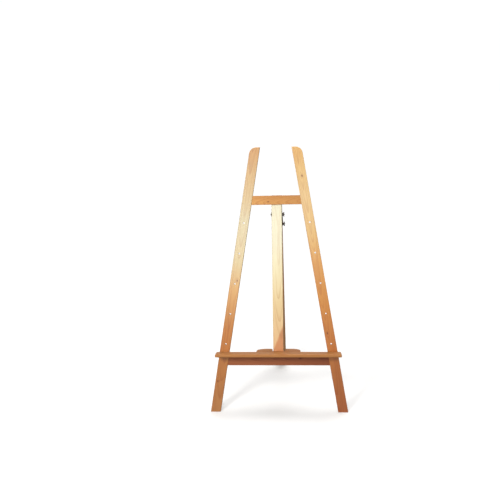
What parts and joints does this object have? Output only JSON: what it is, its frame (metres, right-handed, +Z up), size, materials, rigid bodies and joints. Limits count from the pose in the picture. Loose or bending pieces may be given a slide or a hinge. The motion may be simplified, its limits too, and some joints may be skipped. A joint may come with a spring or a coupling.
{
  "type": "studio easel",
  "caption": "Wooden A-frame studio easel: two splayed side legs with peg holes, two crossbars, centre strut, sliding forked tray and a folding rear leg set by a slotted stay with wing nuts.",
  "frame": {"origin": "on the floor, at the centre of the easel's bounding box seen from above", "axes": "+Z up; +X to the viewer's right as seen from the front; the tray and the legs' front faces look towards -Y and the rear leg stands towards +Y"},
  "size_m": [0.8854, 0.8368, 1.6738],
  "materials": {
    "wood_pale": "satin varnish over pale pine",
    "wood_warm": "satin varnish, warmer orange boards",
    "wood_dark": "satin varnish, darker board",
    "steel": "zinc plated",
    "steel_black": "blackened steel, cast",
    "brass": "brass plated"
  },
  "bodies": {
    "front_frame": {"side_leg_left": "wood_pale", "side_leg_right": "wood_pale", "crossbar_upper": "wood_warm", "crossbar_lower": "wood_warm", "crossbar_dowels": "wood_pale", "centre_strut": "wood_pale", "strut_screws": "steel", "hinge_block": "wood_dark", "block_screws": "steel", "hinge_leaf_fixed": "brass", "hinge_pin": "brass", "hinge_screws_fixed": "steel", "pivot_bolt_upper": "steel", "penny_washer_upper": "steel", "stay_washers_upper": "steel"},
    "rear_leg": {"rear_leg": "wood_dark", "hinge_leaf_moving": "brass", "hinge_screws_moving": "steel", "pivot_bolt_lower": "steel", "penny_washer_lower": "steel", "stay_washers_lower": "steel"},
    "stay": {"slotted_stay": "steel"},
    "nut_upper": {"wing_nut_upper": "steel_black"},
    "nut_lower": {"wing_nut_lower": "steel_black"},
    "tray": {"tray_ledge": "wood_warm", "tray_plate": "wood_warm", "tray_screws": "steel", "tray_bridge": "wood_dark", "bridge_screws": "steel"}
  },
  "joints": [
    {"name": "rear_leg_fold", "type": "hinge", "parent": "front_frame", "child": "rear_leg", "pos_m": [0, -0.09033, 1.35773], "axis": [1, 0, 0], "range_deg": [-29, 0]},
    {"name": "stay_turn", "type": "hinge", "parent": "front_frame", "child": "stay", "pos_m": [0.0359, -0.14236, 1.2481], "axis": [1, 0, 0], "range_deg": [-41, 0.5]},
    {"name": "tray_slide", "type": "slide", "parent": "front_frame", "child": "tray", "axis": [0, 0.1736, 0.9848], "range_m": [0, 0.64]},
    {"name": "nut_upper_turn", "type": "hinge", "parent": "front_frame", "child": "nut_upper", "pos_m": [0.045, -0.14236, 1.2481], "axis": [1, 0, 0], "continuous": true},
    {"name": "nut_lower_turn", "type": "hinge", "parent": "rear_leg", "child": "nut_lower", "pos_m": [0.045, -0.00633, 1.16101], "axis": [1, 0, 0], "continuous": true}
  ],
  "couplings": [
    {"joint": "stay_turn", "follows": "rear_leg_fold", "ratio": 1.38}
  ]
}
